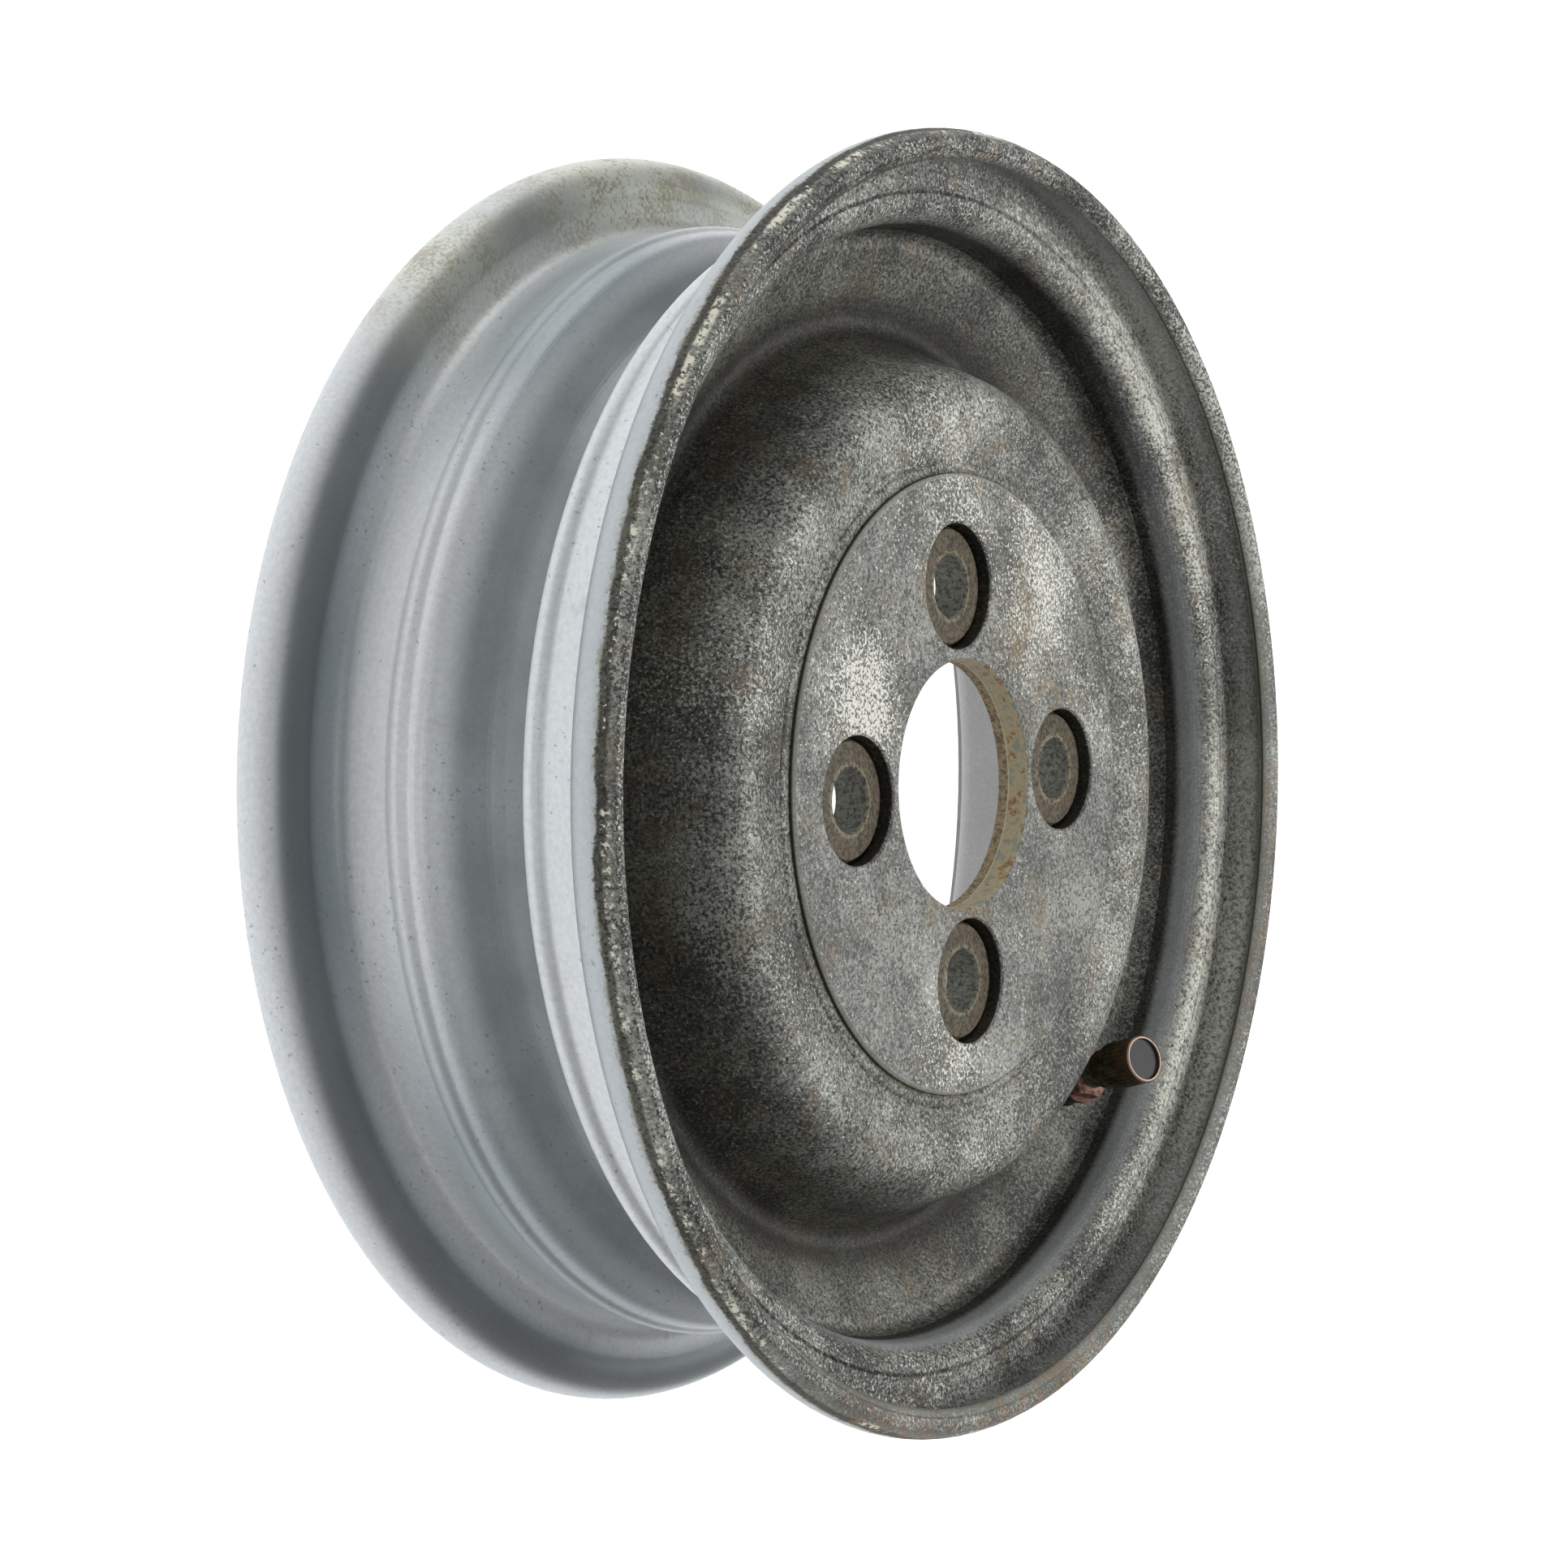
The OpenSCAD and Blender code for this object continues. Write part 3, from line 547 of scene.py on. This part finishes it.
def cap_brass():
    finish, tree = new_finish("aged_brass_cap")
    where, split, radius, height_z = place(tree)
    mottle = grain(tree, where, 2.2, detail=4.0, roughness=0.65)
    color = blend(tree, step_up(tree, mottle, 0.38, 0.62), tint("#2f2c1c"), tint("#5d5836"))
    reach = along_valve(tree, where)
    head = (Vector(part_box("cap_insert")[0]) + Vector(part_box("cap_insert")[1])) / 2.0
    end = (head - NUT_AT).dot(VALVE_AXIS)
    rosy = step_up(tree, reach, end - mm(7.0), end - mm(1.0))
    color = blend(tree, math_node(tree, "MULTIPLY", rosy, 0.55), color, tint("#5c3f31"))
    worn = step_up(tree, reach, end + mm(0.75), end + mm(1.05))
    color = blend(tree, worn, color, tint("#b9a08c"))
    metal_skin(tree, color, 0.45, 0.5, mottle, bump_mm=0.1, strength=0.3)
    print("cap end %.1f mm above the nut" % (end / MM))
    return finish


# %% [markdown]
# Each finish goes on its CAD node through the node's own material slot. The meshes
# are not touched.

# %% Dress the CAD nodes


def dress(finish, *names):
    for name in names:
        node = nodes[name]
        if not node.data.materials:
            node.data.materials.append(finish)
        for slot_number in range(len(node.data.materials)):
            node.data.materials[slot_number] = finish
    print(finish.name, "on", ", ".join(names))


disc_finish = disc_zinc()
dress(barrel_zinc(), "rim_barrel")
dress(disc_finish, "wheel_disc", "weld_seam")
dress(plate_zinc(), "mounting_plate")
stem_finish = plain_finish("aged_brass_stem", "#3b4038", "#6f7364", 1.6, 0.5, 0.45)
dress(stem_finish, "valve_stem")
dress(plain_finish("brass_core", "#9c7a3e", "#c09a58", 1.2, 0.9, 0.35), "valve_core")
dress(cap_brass(), "valve_cap")
dress(plain_finish("weathered_rubber", "#1d1d1f", "#2d2c2c", 2.0, 0.0, 0.7),
      "valve_inner_seal", "valve_outer_seal", "cap_seal")
dress(plain_finish("rusted_washer_steel", "#46302a", "#7a5248", 1.4, 0.3, 0.7), "valve_washer")
dress(plain_finish("rusted_nut_steel", "#54392f", "#94705f", 1.4, 0.3, 0.6), "valve_nut")
dress(plain_finish("plain_black_plastic", "#141517", "#1c1d20", 3.0, 0.0, 0.55, relief=0.05), "cap_insert")

# %% [markdown]
# The screw thread of the stem. A real thread is one groove that runs round and round.
# A small V of two edges, spun about the axis while it also moves along it, sweeps
# out exactly that. Only the stretch between nut and cap can be seen, so only that
# stretch is made, with its ends hidden inside them.

# %% Stem thread
THREAD_PITCH = mm(0.8)
THREAD_R = mm(3.95)
THREAD_ROOT_R = mm(3.55)
STEPS_PER_TURN = 36
cap_low, cap_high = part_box("valve_cap")
VALVE_TURN = Matrix.Rotation(-VALVE_LEAN, 4, "Y")


def on_valve(mesh, along):
    """Moves a mesh made upright at the origin onto the valve's axis."""
    seat = Matrix.Translation(NUT_AT + VALVE_AXIS * along) @ VALVE_TURN
    bmesh.ops.transform(mesh, matrix=seat, verts=mesh.verts)


def piece_from(mesh, name, finish, smooth=True):
    bmesh.ops.recalc_face_normals(mesh, faces=mesh.faces)
    data = bpy.data.meshes.new(name)
    mesh.to_mesh(data)
    mesh.free()
    if smooth:
        for face in data.polygons:
            face.use_smooth = True
    data.materials.append(finish)
    piece = bpy.data.objects.new(name, data)
    bpy.context.scene.collection.objects.link(piece)
    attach(piece, "root")
    print(name, len(data.polygons), "faces")
    return piece


def stem_thread():
    mesh = bmesh.new()
    turns = 11
    profile = [(THREAD_ROOT_R - mm(0.3), -0.5), (THREAD_ROOT_R, -0.5), (THREAD_R, 0.0),
               (THREAD_ROOT_R, 0.5), (THREAD_ROOT_R - mm(0.3), 0.5)]
    verts = [mesh.verts.new((r, 0.0, t * THREAD_PITCH)) for r, t in profile]
    ring = list(verts)
    for a, b in zip(ring, ring[1:] + ring[:1]):
        mesh.edges.new((a, b))
    bmesh.ops.spin(mesh, geom=list(mesh.verts) + list(mesh.edges), cent=(0, 0, 0), axis=(0, 0, 1),
                   dvec=(0, 0, THREAD_PITCH / STEPS_PER_TURN), angle=math.tau * turns,
                   steps=STEPS_PER_TURN * turns, use_merge=False, use_duplicate=False)
    open_rims = [e for e in mesh.edges if e.is_boundary]
    bmesh.ops.holes_fill(mesh, edges=open_rims, sides=0)
    on_valve(mesh, mm(1.5))
    piece = piece_from(mesh, "stem_thread", stem_finish)
    return piece


stem_thread()

# %% [markdown]
# The crevice round the plate. Zinc and years of dust filled the narrow gap between the
# plate's edge and the disc, so the plate reads as let into the dome, with a fine pale
# edge, which is a painted highlight. A ring is spun from a short profile: flat beside the plate, then it
# dips under the slope of the dish, so that no edge of it shows.

# %% Crevice fill
FILL_STEP = mm(1.3)
FILL_FLAT = mm(2.0)
FILL_DIP = mm(3.4)


def crevice_fill():
    mesh = bmesh.new()
    inner, level = PLATE_R + mm(0.02), FACE - FILL_STEP
    profile = [(inner, level), (inner + FILL_FLAT, level), (inner + FILL_DIP, level - mm(0.6)),
               (inner + FILL_DIP, level - mm(0.8)), (inner, FACE - mm(4.9))]
    verts = [mesh.verts.new((r, 0.0, z)) for r, z in profile]
    for a, b in zip(verts, verts[1:] + verts[:1]):
        mesh.edges.new((a, b))
    bmesh.ops.spin(mesh, geom=list(mesh.verts) + list(mesh.edges), cent=(0, 0, 0), axis=(0, 0, 1),
                   dvec=(0, 0, 0), angle=math.tau, steps=180, use_merge=True, use_duplicate=False)
    piece = piece_from(mesh, "crevice_fill", disc_finish)
    return piece


crevice_fill()

# %% [markdown]
# The floor. A large pale sheet, lit from below like a light table. Camera rays and the
# reflections in the metal see it as white, with room left for the wheel's faint shadow.
# For every other ray it glows, which is the light that reaches the tyre side.

# %% Floor
FLOOR_SIZE = 12.0
FLOOR_SEEN = 0.95
FLOOR_GLOW = 1.0


def paper():
    finish, tree = new_finish("white_paper")
    ray = add(tree, "LightPath")
    seen = math_node(tree, "MAXIMUM", ray.outputs["Is Camera Ray"], ray.outputs["Is Glossy Ray"])
    shaded = add(tree, "BsdfDiffuse", Color=tint("#a0a0a0"))
    white = add(tree, "Emission", Color=tint("#ffffff"), Strength=FLOOR_SEEN)
    shown = add(tree, "AddShader", _0=shaded.outputs[0], _1=white.outputs[0])
    sheet = add(tree, "BsdfDiffuse", Color=tint("#f0f0f0"))
    glow = add(tree, "Emission", Color=tint("#ffffff"), Strength=FLOOR_GLOW)
    lit = add(tree, "AddShader", _0=sheet.outputs[0], _1=glow.outputs[0])
    pick = add(tree, "MixShader", _0=seen, _1=lit.outputs[0], _2=shown.outputs[0])
    add(tree, "OutputMaterial", Surface=pick.outputs[0])
    return finish


floor_mesh = bmesh.new()
bmesh.ops.create_grid(floor_mesh, x_segments=1, y_segments=1, size=FLOOR_SIZE / 2)
floor_data = bpy.data.meshes.new("floor")
floor_mesh.to_mesh(floor_data)
floor_mesh.free()
floor_data.materials.append(paper())
floor = bpy.data.objects.new("floor", floor_data)
bpy.context.scene.collection.objects.link(floor)

# %% [markdown]
# Light. In the photograph the tyre side is bright and the left of the dish is dark, so
# the main light came from the left of the camera. The wheel lies flat here, which puts
# that light below it: the glowing floor gives it. The world adds a weak even light. The
# strongest softbox stands high on the far side, where the flat plate mirrors it, and two
# weaker ones open up the far wall of the barrel and the near side of the dome.

# %% Light
CENTRE = Vector((0.0, 0.0, 0.05))
SOFTBOX_SIZE = 0.9
SOFTBOX_AWAY = 1.7
ROOM_GLOW = 0.235

world = bpy.data.worlds.new("white_room")
bpy.context.scene.world = world
world.use_nodes = True
world.node_tree.nodes["Background"].inputs[0].default_value = tint("#ffffff")
world.node_tree.nodes["Background"].inputs[1].default_value = ROOM_GLOW


def softbox(name, turn, rise, watts):
    """A square lamp, turn degrees round the axis from +X and rise above the floor."""
    lamp = bpy.data.lights.new(name, "AREA")
    lamp.shape = "SQUARE"
    lamp.energy = watts
    lamp.size = SOFTBOX_SIZE
    turn, rise = math.radians(turn), math.radians(rise)
    towards = Vector((math.cos(rise) * math.cos(turn), math.cos(rise) * math.sin(turn), math.sin(rise)))
    holder = bpy.data.objects.new(name, lamp)
    holder.location = CENTRE + towards * SOFTBOX_AWAY
    holder.rotation_euler = (CENTRE - holder.location).to_track_quat("-Z", "Y").to_euler()
    bpy.context.scene.collection.objects.link(holder)
    print(name, "at", [round(v, 2) for v in holder.location])
    return holder


softbox("right_softbox", 40.0, 60.0, 20.0)
softbox("top_softbox", 130.0, 12.0, 6.0)
softbox("front_softbox", 220.0, 40.0, 4.0)

# %% [markdown]
# The camera. Its place and turn were worked out from the two lips, which are circles of
# one known size in the real wheel. The wheel stands on edge in the photograph and lies
# flat here, so the camera is rolled over with it.

# %% Camera
SENSOR = 36.0
LENS = 86.444
EYE = (-0.55164, -0.46164, 0.42615)
TURN = (-1.4287, -56.4580, 41.5909)
lip_mid = LIP_CENTRE.y
camera_data = bpy.data.cameras.new("photo_camera")
camera_data.sensor_width = SENSOR
camera_data.lens = LENS
camera = bpy.data.objects.new("photo_camera", camera_data)
camera.location = (EYE[0], EYE[1], EYE[2] + lip_mid)
camera.rotation_euler = Euler([math.radians(angle) for angle in TURN], "XYZ")
bpy.context.scene.collection.objects.link(camera)
bpy.context.scene.camera = camera
bpy.context.scene.view_settings.view_transform = "Standard"
